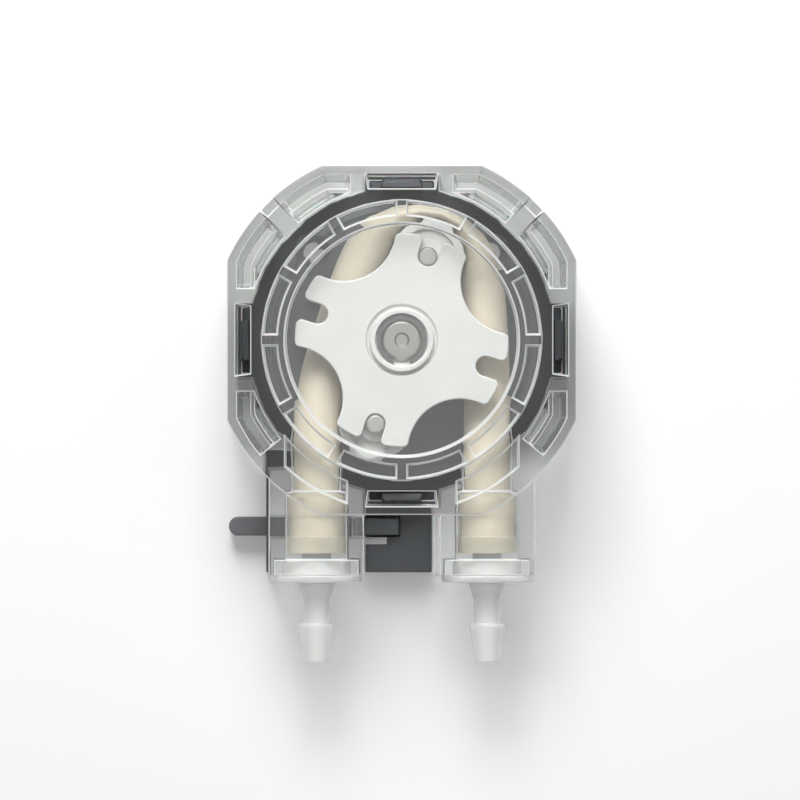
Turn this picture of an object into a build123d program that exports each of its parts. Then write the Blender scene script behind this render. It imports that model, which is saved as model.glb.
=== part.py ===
"""Peristaltic pump head: a clear clip-on cover over a two-roller rotor and its tube.

Frame: millimetres, +Z up, the front of the head faces -Y. The origin is the centre of
the motor face, at the back of the base plate, and the rotor axis runs along Y.
Every "depth" below is a distance in front of the motor face, so depth d lies at y = -d.
"""

from build123d import *
from math import cos, radians, sin, sqrt
import os

os.makedirs("parts", exist_ok=True)

# ---------------------------------------------------------------- driving sizes

# Clearances
RUNNING_GAP = 0.05
SLIDING_GAP = 0.2
FACE_GAP = 0.3
SEAT_GAP = 0.02

# Round head, laid out from the race: a square whose corners lie on a circle
race_radius = 24.2
head_wall = 5.8
head_corner_reach = 3.0

# Depths of the layers, from the motor face forward
skirt_rear_depth = 0.3
base_thickness = 6.2
race_floor_depth = 25.6
window_thickness = 2.5
rim_depth = 30.0

# Front details of the cover
window_step = 4.3
ring_pocket_wall = 0.5
ring_pocket_width = 2.3
ring_pocket_depth = 2.4
ring_pocket_count = 12
ring_rib_width = 1.9
rim_wall = 1.8
trench_width = 2.7
corner_pocket_end = 8.9
corner_rib_width = 3.4
corner_floor = 3.0
divider_offset = 2.2
divider_width = 0.9
divider_drop = 1.6
pocket_draft = 2.0
rim_notch_width = 3.0
rim_notch_depth = 3.5
crescent_inner_wall = 1.8
crescent_outer_wall = 0.5
crescent_length = 10.6
crescent_depth = 5.2
lower_pocket_end_angle = 39.0

# Snap windows and the tongues that click into them
snap_window_inset = 2.75
snap_window_height = 2.5
snap_window_length = 12.2
snap_window_side_angle = 82
snap_ledge_depth = 5.0
snap_ledge_reach = 0.9
snap_slot_inset = 0.5
tongue_width = 7.0
tongue_thickness = 0.9
tongue_barb_height = 2.0
tongue_barb_reach = 0.7
tongue_barb_taper = 10

# Tube and its ports
tube_radius = 4.0
tube_wall = 1.6
port_inset = 9.5
tube_depth = 15.9
tube_roller_gap = 0.2
squeeze_room = 2.8
squeeze_half_angle = 16
closed_lumen = 0.4
tube_steps = 26
leg_inset = 4.2
block_width = 16.4
block_drop = 10.5
block_front_depth = 24.2
block_rib_width = 1.1
block_rib_drop = 2.0
tube_grip_drop = 3.7
tube_end_drop = 3.8
tube_swell = 1.0
tube_relief = 0.3
channel_overlap = 5.6
end_ring_length = 2.9
end_ring_wall = 0.5
keeper_thickness = 1.6
keeper_rear_depth = 4.8
keeper_length = 10.0
keeper_rib_width = 1.4

# Hose connectors
plug_radius = 5.9
plug_height = 2.6
plug_cavity_half_width = 7.3
lip_radius = 7.8
lip_height = 1.2
connector_bore_radius = 1.4
neck_radius = 2.35
neck_root_radius = 3.2
neck_top_drop = 3.1
neck_bottom_drop = 7.2
barb_radius = 3.1
barb_land = 0.8
barb_tip_radius = 2.1
connector_length = 15.0
inner_barb_radius = 3.4
inner_stem_radius = 2.5
inner_barb_length = 3.9

# Rotor
arm_angle = 72.6
arm_tip_inset = 5.8
arm_count = 4
scallop_radius = 8.9
scallop_centre_reach = 3.1
slot_width = 3.4
arm_corner_fillet = 1.0
rear_plate_thickness = 2.4
front_plate_thickness = 2.1
plate_front_depth = 24.6
rotor_rear_depth = 6.9
hub_radius = 6.5
collar_inner_radius = 4.5
collar_outer_radius = 5.5
collar_height = 0.6
collar_groove_width = 0.6
collar_groove_depth = 0.6

# Rollers
roller_radius = 6.3
pin_radius = 1.6
pin_dome = 0.3
bush_wall = 0.8
washer_radius = 3.0
washer_thickness = 0.3
roller_end_recess = 0.8
roller_end_wall = 1.5
roller_edge_chamfer = 0.4

# Drive shaft
shaft_radius = 3.8
shaft_seat_radius = 4.0
shaft_flange_radius = 5.0
shaft_end_depth = 25.0
shaft_end_chamfer = 0.8
centre_dimple_radius = 1.3
centre_dimple_depth = 0.5
centre_dimple_taper = 30
motor_shaft_radius = 2.5
motor_shaft_flat = 2.0
motor_shaft_reach = 20.0
motor_shaft_lead_in = 6.0
motor_shaft_relief = 0.3
dog_length = 12.4
dog_width = 2.9
dog_height = 1.1
ring_groove_radius = 3.5
ring_thickness = 0.5
ring_outer_radius = 4.25
ring_gap_angle = 40.0

# Motor mount: the flange of a 42 mm stepping motor
pilot_radius = 11.05
pilot_depth = 2.2
motor_hole_half_spacing = 15.5
motor_hole_radius = 1.6
motor_screw_head_radius = 3.0
motor_screw_head_height = 3.2

# Ball bearing, 8 x 16 x 4
bearing_outer_radius = 8.0
bearing_width = 4.0
bearing_ring_wall = 1.1
ball_radius = 0.98
ball_count = 8
cage_thickness = 0.8
cage_width = 2.8
bearing_lip_radius = 7.0
bearing_lip_height = 0.4
bearing_boss_radius = 9.6

# Base plate: a disc with four ears, a tail between the blocks and a guard for the lever
base_flange = 2.2
ear_width = 12.8
ear_inset = 1.3
tail_lift = 0.3
guard_gap = 0.1
guard_thickness = 0.5
guard_arm_height = 3.0
guard_arm_lift = 11.0
spigot_width = 1.5
spigot_height = 1.1

# Release latch
lever_drop = 2.2
lever_height = 3.3
slide_thickness = 3.0
slide_share = 4 / 13
slide_shoulder_length = 1.9
slide_shoulder_height = 5.6
latch_travel = 2.6
latch_pocket_wall = 0.8
latch_cover_thickness = 1.2
latch_cover_margin = 0.8
latch_cover_above = 4.8
latch_cover_below = 6.8
latch_screw_inset = 2.0
latch_screw_radius = 0.9
latch_screw_length = 4.6
latch_screw_head_radius = 1.5
latch_screw_head_height = 0.6
dog_stem_inset = 0.9
dog_stem_width = 2.0
hook_reach = 2.2
hook_thickness = 1.4
hook_height = 3.0
catch_ledge = 1.0
spring_radius = 1.1
spring_wire_radius = 0.2
spring_turns = 5
mark_length = 3.7
mark_height = 1.2
mark_thickness = 0.2
mark_drop = 4.7

# ------------------------------------------------------------- worked-out sizes

head_half_width = race_radius + head_wall
head_corner_radius = head_half_width + head_corner_reach
window_radius = race_radius - window_step
window_front_depth = race_floor_depth + window_thickness
ring_pocket_outer_radius = race_radius - ring_pocket_wall
ring_pocket_inner_radius = ring_pocket_outer_radius - ring_pocket_width
corner_pocket_inner_radius = race_radius + trench_width
crescent_inner_radius = race_radius + crescent_inner_wall
crescent_outer_radius = head_half_width - crescent_outer_wall
snap_window_radius = head_half_width - snap_window_inset
snap_window_bottom = snap_window_radius - snap_window_height / 2
port_x = race_radius - port_inset
grip_half_width = tube_radius + tube_swell + FACE_GAP
leg_top = leg_inset - race_radius
channel_top = leg_top + channel_overlap
block_bottom = -head_half_width - block_drop
block_inner_x = port_x - block_width / 2
block_outer_x = port_x + block_width / 2
plug_top = block_bottom + plug_height
tube_grip_top = tube_grip_drop - head_half_width
tube_end = block_bottom + tube_end_drop
connector_tip = block_bottom - connector_length
base_disc_radius = race_radius + base_flange
tail_left = SLIDING_GAP - block_inner_x
tail_right = block_inner_x - block_rib_width - SLIDING_GAP
tail_bottom = block_bottom + tail_lift
guard_right = -block_outer_x - guard_gap
guard_left = guard_right - guard_thickness
guard_top = -head_half_width + guard_arm_lift
lever_z = -head_half_width - lever_drop
lever_tip_x = -head_half_width
mark_z = -head_half_width - mark_drop
slide_right_x = -slide_share * block_inner_x
slide_shoulder_left = slide_right_x - slide_shoulder_length
latch_pocket_right = tail_right - latch_pocket_wall
dog_stem_left = tail_left + dog_stem_inset
latch_cover_left = tail_left + latch_cover_margin
latch_cover_right = tail_right - latch_cover_margin
latch_cover_top = lever_z + latch_cover_above
latch_cover_bottom = lever_z - latch_cover_below
arm_tip_radius = race_radius - arm_tip_inset
scallop_centre_radius = arm_tip_radius + scallop_centre_reach
roller_pin_circle = race_radius - squeeze_room - roller_radius
roller_bore_radius = pin_radius + RUNNING_GAP
plate_gap_rear = rotor_rear_depth + rear_plate_thickness
plate_gap_front = plate_front_depth - front_plate_thickness
roller_rear_depth = plate_gap_rear + washer_thickness + RUNNING_GAP
roller_length = plate_gap_front - washer_thickness - RUNNING_GAP - roller_rear_depth
bearing_rear_depth = pilot_depth
shaft_rear_depth = pilot_depth + RUNNING_GAP
ball_circle = (bearing_outer_radius + shaft_seat_radius) / 2
slide_rear_depth = latch_cover_thickness + SLIDING_GAP
pocket_floor_depth = slide_rear_depth + slide_thickness + SLIDING_GAP


def level(depth):
    """Front-facing sketch plane at a depth in front of the motor face."""
    return Plane.XZ.offset(depth)


def clipped_square(half_width, corner_radius):
    """A square whose corners are cut to a circle."""
    with BuildSketch(Plane.XY, mode=Mode.PRIVATE) as shape:
        Rectangle(2 * half_width, 2 * half_width)
        Circle(corner_radius, mode=Mode.INTERSECT)
    return shape.sketch


def base_outline(growth):
    """The base plate's outline, grown all round by a clearance."""
    with BuildSketch(Plane.XY, mode=Mode.PRIVATE) as outline:
        Circle(base_disc_radius + growth)
        ear_reach = head_half_width - ear_inset
        with PolarLocations(ear_reach / 2, 4):
            Rectangle(ear_reach + 2 * growth, ear_width + 2 * growth)
        with Locations(((tail_left + tail_right) / 2, tail_bottom / 2)):
            Rectangle(tail_right - tail_left + 2 * growth, 2 * growth - tail_bottom)
    return outline.sketch


def guard_outline(growth):
    """The arm and the rail outside the left block, grown all round by a clearance."""
    arm_length = -port_x - guard_left
    with BuildSketch(Plane.XY, mode=Mode.PRIVATE) as outline:
        with Locations(((guard_left + guard_right) / 2, (guard_top + tail_bottom) / 2)):
            Rectangle(guard_thickness + 2 * growth, guard_top - tail_bottom + 2 * growth)
        with Locations((guard_left + arm_length / 2, guard_top - guard_arm_height / 2)):
            Rectangle(arm_length + 2 * growth, guard_arm_height + 2 * growth)
    return outline.sketch


def arm_point(radius, angle=arm_angle):
    """Point at a radius along an arm, in the front view."""
    return (radius * cos(radians(angle)), radius * sin(radians(angle)))


def port_plane(side):
    """Front-facing plane through the axis of one tube port."""
    return Plane(origin=(side * port_x, -tube_depth, 0), x_dir=(1, 0, 0), z_dir=(0, -1, 0))


def port_axis(side):
    """Upright axis of one tube port."""
    return Axis((side * port_x, -tube_depth, 0), (0, 0, 1))


def finish(part, label):
    """Label a finished piece and write it."""
    part.label = label
    export_step(part, f"parts/{label}.step")


# ------------------------------------------------------------------ clear cover

with BuildPart() as front_cover:
    with BuildSketch(level(skirt_rear_depth)):
        add(clipped_square(head_half_width, head_corner_radius))
    extrude(amount=rim_depth - skirt_rear_depth)
    # Two blocks below the round body hold the tube ends and their connectors
    block_top = block_bottom / 2
    block_height = block_top - block_bottom
    with BuildSketch(level(skirt_rear_depth)):
        with Locations((-port_x, block_bottom + block_height / 2), (port_x, block_bottom + block_height / 2)):
            Rectangle(block_width, block_height)
    extrude(amount=block_front_depth - skirt_rear_depth)
    # Rib on the inner face of the right block
    with BuildSketch(level(skirt_rear_depth)):
        with Locations((block_inner_x - block_rib_width / 2, block_bottom + block_height / 2)):
            Rectangle(block_rib_width, block_height)
    extrude(amount=block_front_depth - block_rib_drop - skirt_rear_depth)
    # Room for the base plate inside the skirt
    with BuildSketch(level(skirt_rear_depth)):
        add(base_outline(SLIDING_GAP))
        add(guard_outline(SLIDING_GAP))
    extrude(amount=base_thickness - skirt_rear_depth, mode=Mode.SUBTRACT)
    # Race bore, open to the back
    with BuildSketch(level(base_thickness)):
        Circle(race_radius)
    extrude(amount=race_floor_depth - base_thickness, mode=Mode.SUBTRACT)
    # Front window, set back from the rim
    with BuildSketch(level(window_front_depth)):
        Circle(window_radius)
    extrude(amount=rim_depth - window_front_depth, mode=Mode.SUBTRACT)
    # Ring of shallow pockets with radial ribs between them
    with BuildSketch(level(rim_depth - ring_pocket_depth)):
        Circle(ring_pocket_outer_radius)
        Circle(ring_pocket_inner_radius, mode=Mode.SUBTRACT)
        with PolarLocations(0, ring_pocket_count // 2, angular_range=180):
            Rectangle(2 * ring_pocket_outer_radius, ring_rib_width, mode=Mode.SUBTRACT)
    extrude(amount=ring_pocket_depth, mode=Mode.SUBTRACT)
    # Deep corner pockets: whole above, shortened beside the tube blocks below
    with BuildSketch(level(rim_depth)):
        add(clipped_square(head_half_width - rim_wall, head_corner_radius - rim_wall))
        Circle(corner_pocket_inner_radius, mode=Mode.SUBTRACT)
        Rectangle(2 * corner_pocket_end, 2 * head_half_width, mode=Mode.SUBTRACT)
        Rectangle(2 * head_half_width, 2 * corner_pocket_end, mode=Mode.SUBTRACT)
        with PolarLocations(0, 2, start_angle=45, angular_range=180):
            Rectangle(3 * head_half_width, corner_rib_width, mode=Mode.SUBTRACT)
        with BuildLine():
            lower_edge = (head_half_width * 2 * cos(radians(lower_pocket_end_angle)))
            lower_drop = (head_half_width * 2 * sin(radians(lower_pocket_end_angle)))
            Polyline(
                (0, 0),
                (lower_edge, -lower_drop),
                (0, -2 * head_half_width),
                (-lower_edge, -lower_drop),
                close=True,
            )
        make_face(mode=Mode.SUBTRACT)
    extrude(amount=-(rim_depth - base_thickness - corner_floor), taper=pocket_draft, mode=Mode.SUBTRACT)
    # A low dividing rib follows the outline inside each corner pocket
    divider_outer = rim_wall + divider_offset
    divider_inner = divider_outer + divider_width
    with BuildSketch(level(base_thickness + corner_floor)):
        add(clipped_square(head_half_width - divider_outer, head_corner_radius - divider_outer))
        add(
            clipped_square(head_half_width - divider_inner, head_corner_radius - divider_inner),
            mode=Mode.SUBTRACT,
        )
        Rectangle(2 * corner_pocket_end, 2 * head_half_width, mode=Mode.SUBTRACT)
        Rectangle(2 * head_half_width, 2 * corner_pocket_end, mode=Mode.SUBTRACT)
    extrude(amount=rim_depth - divider_drop - base_thickness - corner_floor)
    # Notches in the rim between the two pockets of each upper corner
    with BuildSketch(level(rim_depth)):
        with PolarLocations(head_corner_radius, 2, start_angle=45, angular_range=180):
            Rectangle(2 * rim_wall, rim_notch_width)
    extrude(amount=-rim_notch_depth, mode=Mode.SUBTRACT)
    # Crescent pockets over the two tube channels
    with BuildSketch(level(rim_depth)):
        Circle(crescent_outer_radius)
        Circle(crescent_inner_radius, mode=Mode.SUBTRACT)
        with Locations(
            (-port_x, -head_half_width / 2),
            (port_x, -head_half_width / 2),
        ):
            Rectangle(crescent_length, head_half_width, mode=Mode.INTERSECT)
    extrude(amount=-crescent_depth, mode=Mode.SUBTRACT)
    # Snap windows, narrower at the back so that a ledge is left for the tongues
    with BuildSketch(level(base_thickness + snap_ledge_depth)):
        with PolarLocations(snap_window_radius, 4):
            Trapezoid(snap_window_length, snap_window_height, snap_window_side_angle, rotation=90)
    extrude(amount=rim_depth - base_thickness - snap_ledge_depth, mode=Mode.SUBTRACT)
    with BuildSketch(level(base_thickness)):
        with PolarLocations(snap_window_radius - snap_ledge_reach / 2, 4):
            Rectangle(snap_window_height - snap_ledge_reach, snap_window_length - 2 * snap_slot_inset)
    extrude(amount=snap_ledge_depth, mode=Mode.SUBTRACT)
    # Flat-topped tube channels, open to the back: tube, swollen tube end, connector plug
    for channel_half_width, ceiling_reach, channel_end in (
        (tube_radius + FACE_GAP, tube_radius + FACE_GAP, channel_top),
        (grip_half_width, grip_half_width, tube_grip_top + FACE_GAP),
        (plug_cavity_half_width, plug_radius + SLIDING_GAP / 2, plug_top + SLIDING_GAP / 2),
    ):
        channel_length = channel_end - block_bottom
        with BuildSketch(level(skirt_rear_depth)):
            with Locations(
                (-port_x, block_bottom + channel_length / 2),
                (port_x, block_bottom + channel_length / 2),
            ):
                Rectangle(2 * channel_half_width, channel_length)
        extrude(amount=tube_depth + ceiling_reach - skirt_rear_depth, mode=Mode.SUBTRACT)
    # Slot for the lever behind the left block
    with BuildSketch(level(skirt_rear_depth)):
        with Locations((-port_x, lever_z)):
            Rectangle(block_width, lever_height + 2 * SLIDING_GAP)
    extrude(amount=pocket_floor_depth - skirt_rear_depth, mode=Mode.SUBTRACT)
    # Catch for the release latch, in the inner wall of the left block
    with BuildSketch(level(base_thickness + catch_ledge)):
        with Locations((-block_inner_x - hook_reach / 2, lever_z)):
            Rectangle(hook_reach, hook_height + 4 * SLIDING_GAP)
    extrude(amount=hook_thickness + 2 * SLIDING_GAP, mode=Mode.SUBTRACT)

finish(front_cover.part, "front_cover")

# ------------------------------------------------------------------- base plate

with BuildPart() as base_plate:
    with BuildSketch(level(0)):
        add(base_outline(0))
        add(guard_outline(0))
    extrude(amount=base_thickness)
    # Spigot that centres the race, and the lip in front of the bearing
    with BuildSketch(level(base_thickness)):
        Circle(race_radius - SLIDING_GAP)
        Circle(race_radius - SLIDING_GAP - spigot_width, mode=Mode.SUBTRACT)
    extrude(amount=spigot_height)
    with BuildSketch(level(base_thickness)):
        Circle(bearing_boss_radius)
    extrude(amount=bearing_lip_height)
    with BuildSketch(level(0)):
        Circle(bearing_lip_radius)
    extrude(amount=base_thickness + bearing_lip_height, mode=Mode.SUBTRACT)
    with BuildSketch(level(0)):
        Circle(bearing_outer_radius)
    extrude(amount=base_thickness, mode=Mode.SUBTRACT)
    with BuildSketch(level(0)):
        Circle(pilot_radius)
    extrude(amount=pilot_depth, mode=Mode.SUBTRACT)
    # Motor screws go in from the front, their heads sunk in the plate
    with Locations(level(base_thickness)):
        with GridLocations(2 * motor_hole_half_spacing, 2 * motor_hole_half_spacing, 2, 2):
            CounterBoreHole(motor_hole_radius, motor_screw_head_radius, motor_screw_head_height)
    # Snap tongues, one in each window of the cover
    tongue_root = snap_window_bottom + 2 * SLIDING_GAP
    tongue_top = base_thickness + snap_ledge_depth + SLIDING_GAP
    with BuildSketch(level(base_thickness)):
        with PolarLocations(tongue_root + tongue_thickness / 2, 4):
            Rectangle(tongue_thickness, tongue_width)
    extrude(amount=tongue_top + tongue_barb_height - base_thickness)
    with BuildSketch(level(tongue_top)):
        with PolarLocations(tongue_root + (tongue_thickness + tongue_barb_reach) / 2, 4):
            Rectangle(tongue_thickness + tongue_barb_reach, tongue_width)
    extrude(amount=tongue_barb_height, taper=tongue_barb_taper)
    # Latch pocket in the back of the tail, with the recess for its cover
    with BuildSketch(level(0)):
        with Locations(
            (
                (latch_cover_left + latch_cover_right) / 2,
                (latch_cover_top + latch_cover_bottom) / 2,
            )
        ):
            Rectangle(
                latch_cover_right - latch_cover_left + SLIDING_GAP,
                latch_cover_top - latch_cover_bottom + SLIDING_GAP,
            )
    extrude(amount=latch_cover_thickness, mode=Mode.SUBTRACT)
    pocket_left = slide_shoulder_left - SLIDING_GAP
    with BuildSketch(level(latch_cover_thickness)):
        with Locations(((pocket_left + latch_pocket_right) / 2, lever_z)):
            Rectangle(latch_pocket_right - pocket_left, slide_shoulder_height + 2 * SLIDING_GAP)
        with Locations(((guard_left + pocket_left) / 2, lever_z)):
            Rectangle(pocket_left - guard_left, lever_height + 2 * SLIDING_GAP)
    extrude(amount=pocket_floor_depth - latch_cover_thickness, mode=Mode.SUBTRACT)
    # Slot through which the hook reaches the cover's catch
    dog_slot_left = dog_stem_left - 2 * SLIDING_GAP
    dog_slot_right = dog_stem_left + dog_stem_width + latch_travel + 2 * SLIDING_GAP
    with BuildSketch(level(pocket_floor_depth)):
        with Locations(((dog_slot_left + dog_slot_right) / 2, lever_z)):
            Rectangle(dog_slot_right - dog_slot_left, hook_height + 2 * SLIDING_GAP)
    extrude(amount=base_thickness - pocket_floor_depth, mode=Mode.SUBTRACT)
    # Pilot holes for the latch cover's two screws
    latch_screw_z = latch_cover_bottom + latch_screw_inset
    latch_screw_places = [
        (latch_cover_left + latch_screw_inset, latch_screw_z),
        (latch_cover_right - latch_screw_inset, latch_screw_z),
    ]
    with BuildSketch(level(latch_cover_thickness)):
        with Locations(*latch_screw_places):
            Circle(latch_screw_radius)
    extrude(amount=latch_screw_length - latch_cover_thickness + SLIDING_GAP, mode=Mode.SUBTRACT)

finish(base_plate.part, "base_plate")

with BuildPart() as index_mark:
    with BuildSketch(level(base_thickness)):
        with Locations((tail_left + mark_length / 2, mark_z)):
            Rectangle(mark_length, mark_height)
    extrude(amount=mark_thickness)

finish(index_mark.part, "index_mark")

# ---------------------------------------------------------------- release latch

with BuildPart() as latch_slide:
    with BuildSketch(level(slide_rear_depth)) as slide_outline:
        with Locations(((lever_tip_x + slide_right_x) / 2, lever_z)):
            Rectangle(slide_right_x - lever_tip_x, lever_height)
        with Locations((slide_shoulder_left + slide_shoulder_length / 2, lever_z)):
            Rectangle(slide_shoulder_length, slide_shoulder_height)
        fillet(slide_outline.vertices().group_by(Axis.X)[0], lever_height / 2 - RUNNING_GAP)
    extrude(amount=slide_thickness)
    # Hook that reaches forward through the plate into the cover's catch; its head hides the slot
    hook_front = base_thickness + catch_ledge + SLIDING_GAP + hook_thickness
    hook_left = dog_stem_left - hook_reach
    with BuildSketch(level(slide_rear_depth + slide_thickness)):
        with Locations((dog_stem_left + dog_stem_width / 2, lever_z)):
            Rectangle(dog_stem_width, hook_height)
    extrude(amount=hook_front - slide_rear_depth - slide_thickness)
    with BuildSketch(level(hook_front - hook_thickness)):
        with Locations(((hook_left + dog_slot_right) / 2, lever_z)):
            Rectangle(dog_slot_right - hook_left, hook_height)
    extrude(amount=hook_thickness)

finish(latch_slide.part, "latch_slide")

spring_length = latch_pocket_right - slide_right_x - 2 * spring_wire_radius - SLIDING_GAP
spring_centre_depth = slide_rear_depth + slide_thickness / 2
spring_start = slide_right_x + spring_wire_radius + SLIDING_GAP / 2
with BuildPart() as latch_spring:
    with BuildLine() as coil:
        Helix(
            spring_length / spring_turns,
            spring_length,
            spring_radius,
            center=(spring_start, -spring_centre_depth, lever_z),
            direction=(1, 0, 0),
        )
    with BuildSketch(Plane(origin=coil.line @ 0, z_dir=coil.line % 0)):
        Circle(spring_wire_radius)
    sweep()

finish(latch_spring.part, "latch_spring")

with BuildPart() as latch_cover:
    with BuildSketch(level(0)):
        with Locations(
            (
                (latch_cover_left + latch_cover_right) / 2,
                (latch_cover_top + latch_cover_bottom) / 2,
            )
        ):
            Rectangle(latch_cover_right - latch_cover_left, latch_cover_top - latch_cover_bottom)
    extrude(amount=latch_cover_thickness)
    with BuildSketch(level(0)):
        with Locations(*latch_screw_places):
            Circle(latch_screw_radius + RUNNING_GAP)
    extrude(amount=latch_cover_thickness, mode=Mode.SUBTRACT)
    with BuildSketch(level(0)):
        with Locations(*latch_screw_places):
            Circle(latch_screw_head_radius + RUNNING_GAP)
    extrude(amount=latch_screw_head_height, mode=Mode.SUBTRACT)

finish(latch_cover.part, "latch_cover")

with BuildPart() as latch_cover_screws:
    with BuildSketch(level(0)):
        with Locations(*latch_screw_places):
            Circle(latch_screw_head_radius)
    extrude(amount=latch_screw_head_height)
    with BuildSketch(level(0)):
        with Locations(*latch_screw_places):
            Circle(latch_screw_radius - SEAT_GAP)
    extrude(amount=latch_screw_length)

finish(latch_cover_screws.part, "latch_cover_screws")

# ----------------------------------------------------------------- ball bearing

with BuildPart() as bearing_outer_ring:
    with BuildSketch(level(bearing_rear_depth)):
        Circle(bearing_outer_radius)
        Circle(bearing_outer_radius - bearing_ring_wall, mode=Mode.SUBTRACT)
    extrude(amount=bearing_width)
    with Locations(level(bearing_rear_depth + bearing_width / 2)):
        Torus(ball_circle, ball_radius + RUNNING_GAP, mode=Mode.SUBTRACT)

finish(bearing_outer_ring.part, "bearing_outer_ring")

with BuildPart() as bearing_inner_ring:
    with BuildSketch(level(bearing_rear_depth)):
        Circle(shaft_seat_radius + bearing_ring_wall)
        Circle(shaft_seat_radius, mode=Mode.SUBTRACT)
    extrude(amount=bearing_width)
    with Locations(level(bearing_rear_depth + bearing_width / 2)):
        Torus(ball_circle, ball_radius + RUNNING_GAP, mode=Mode.SUBTRACT)

finish(bearing_inner_ring.part, "bearing_inner_ring")

with BuildPart() as bearing_balls:
    with Locations(level(bearing_rear_depth + bearing_width / 2)):
        with PolarLocations(ball_circle, ball_count):
            Sphere(ball_radius)

finish(bearing_balls.part, "bearing_balls")

with BuildPart() as bearing_cage:
    with BuildSketch(level(bearing_rear_depth + (bearing_width - cage_width) / 2)):
        Circle(ball_circle + cage_thickness / 2)
        Circle(ball_circle - cage_thickness / 2, mode=Mode.SUBTRACT)
    extrude(amount=cage_width)
    with Locations(level(bearing_rear_depth + bearing_width / 2)):
        with PolarLocations(ball_circle, ball_count):
            Cylinder(ball_radius + RUNNING_GAP, 2 * cage_thickness, rotation=(0, 90, 0), mode=Mode.SUBTRACT)

finish(bearing_cage.part, "bearing_cage")

# ------------------------------------------------------------------ drive shaft

with BuildPart() as drive_shaft:
    with BuildSketch(level(shaft_rear_depth)):
        Circle(shaft_seat_radius)
    extrude(amount=bearing_rear_depth + bearing_width - shaft_rear_depth)
    with BuildSketch(level(bearing_rear_depth + bearing_width)):
        Circle(shaft_flange_radius)
    extrude(amount=rotor_rear_depth - bearing_rear_depth - bearing_width)
    with BuildSketch(level(rotor_rear_depth)):
        Circle(shaft_radius)
    extrude(amount=shaft_end_depth - rotor_rear_depth)
    chamfer(drive_shaft.edges().group_by(Axis.Y)[0], shaft_end_chamfer)
    # Cross dog that turns the rotor
    with BuildSketch(level(rotor_rear_depth)):
        Rectangle(dog_length, dog_width)
    extrude(amount=dog_height)
    # Bore for the motor shaft: a wider round lead-in, then the D section that drives
    with BuildSketch(level(shaft_rear_depth)):
        Circle(motor_shaft_radius + motor_shaft_relief)
    extrude(amount=motor_shaft_lead_in, mode=Mode.SUBTRACT)
    with BuildSketch(level(shaft_rear_depth + motor_shaft_lead_in)):
        Circle(motor_shaft_radius + RUNNING_GAP)
        with Locations((0, motor_shaft_flat + RUNNING_GAP - 2 * motor_shaft_radius)):
            Rectangle(4 * motor_shaft_radius, 4 * motor_shaft_radius, mode=Mode.INTERSECT)
    extrude(amount=motor_shaft_reach - motor_shaft_lead_in, mode=Mode.SUBTRACT)
    # Lathe centre in the end, and the groove for the retaining ring
    with BuildSketch(level(shaft_end_depth)):
        Circle(centre_dimple_radius)
    extrude(amount=-centre_dimple_depth, taper=centre_dimple_taper, mode=Mode.SUBTRACT)
    ring_rear_depth = plate_front_depth - ring_thickness
    with BuildSketch(level(ring_rear_depth)):
        Circle(shaft_seat_radius)
        Circle(ring_groove_radius, mode=Mode.SUBTRACT)
    extrude(amount=ring_thickness + SEAT_GAP, mode=Mode.SUBTRACT)

finish(drive_shaft.part, "drive_shaft")

with BuildPart() as retaining_ring:
    with BuildSketch(level(ring_rear_depth)):
        Circle(ring_outer_radius)
        Circle(ring_groove_radius + SEAT_GAP, mode=Mode.SUBTRACT)
        with Locations((0, -ring_outer_radius)):
            Rectangle(ring_outer_radius * sin(radians(ring_gap_angle)), 2 * ring_outer_radius, mode=Mode.SUBTRACT)
    extrude(amount=ring_thickness)

finish(retaining_ring.part, "retaining_ring")

# ------------------------------------------------------------------------ rotor


def rotor_outline():
    """Four slotted arms between round scallops, with rounded prongs."""
    with BuildSketch(Plane.XY, mode=Mode.PRIVATE) as outline:
        Circle(arm_tip_radius)
        with PolarLocations(scallop_centre_radius, arm_count, start_angle=arm_angle + 180 / arm_count):
            Circle(scallop_radius, mode=Mode.SUBTRACT)
        slot_end = roller_pin_circle
        with PolarLocations(slot_end, arm_count, start_angle=arm_angle):
            Circle(slot_width / 2, mode=Mode.SUBTRACT)
        with PolarLocations(slot_end + arm_tip_radius / 2, arm_count, start_angle=arm_angle):
            Rectangle(arm_tip_radius, slot_width, mode=Mode.SUBTRACT)
        prong_corners = outline.vertices().filter_by(
            lambda corner: Vector(corner.X, corner.Y, 0).length > arm_tip_radius - RUNNING_GAP
        )
        fillet(prong_corners, arm_corner_fillet)
    return outline.sketch


with BuildPart() as rotor_rear_plate:
    with BuildSketch(level(rotor_rear_depth)):
        add(rotor_outline())
    extrude(amount=rear_plate_thickness)
    with BuildSketch(level(plate_gap_rear)):
        Circle(hub_radius)
    extrude(amount=plate_gap_front - plate_gap_rear)
    with BuildSketch(level(rotor_rear_depth)):
        Circle(shaft_radius + SEAT_GAP)
    extrude(amount=plate_gap_front - rotor_rear_depth, mode=Mode.SUBTRACT)
    with BuildSketch(level(rotor_rear_depth)):
        Rectangle(dog_length + SLIDING_GAP, dog_width + 2 * SEAT_GAP)
    extrude(amount=dog_height + SLIDING_GAP / 2, mode=Mode.SUBTRACT)

finish(rotor_rear_plate.part, "rotor_rear_plate")

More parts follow.
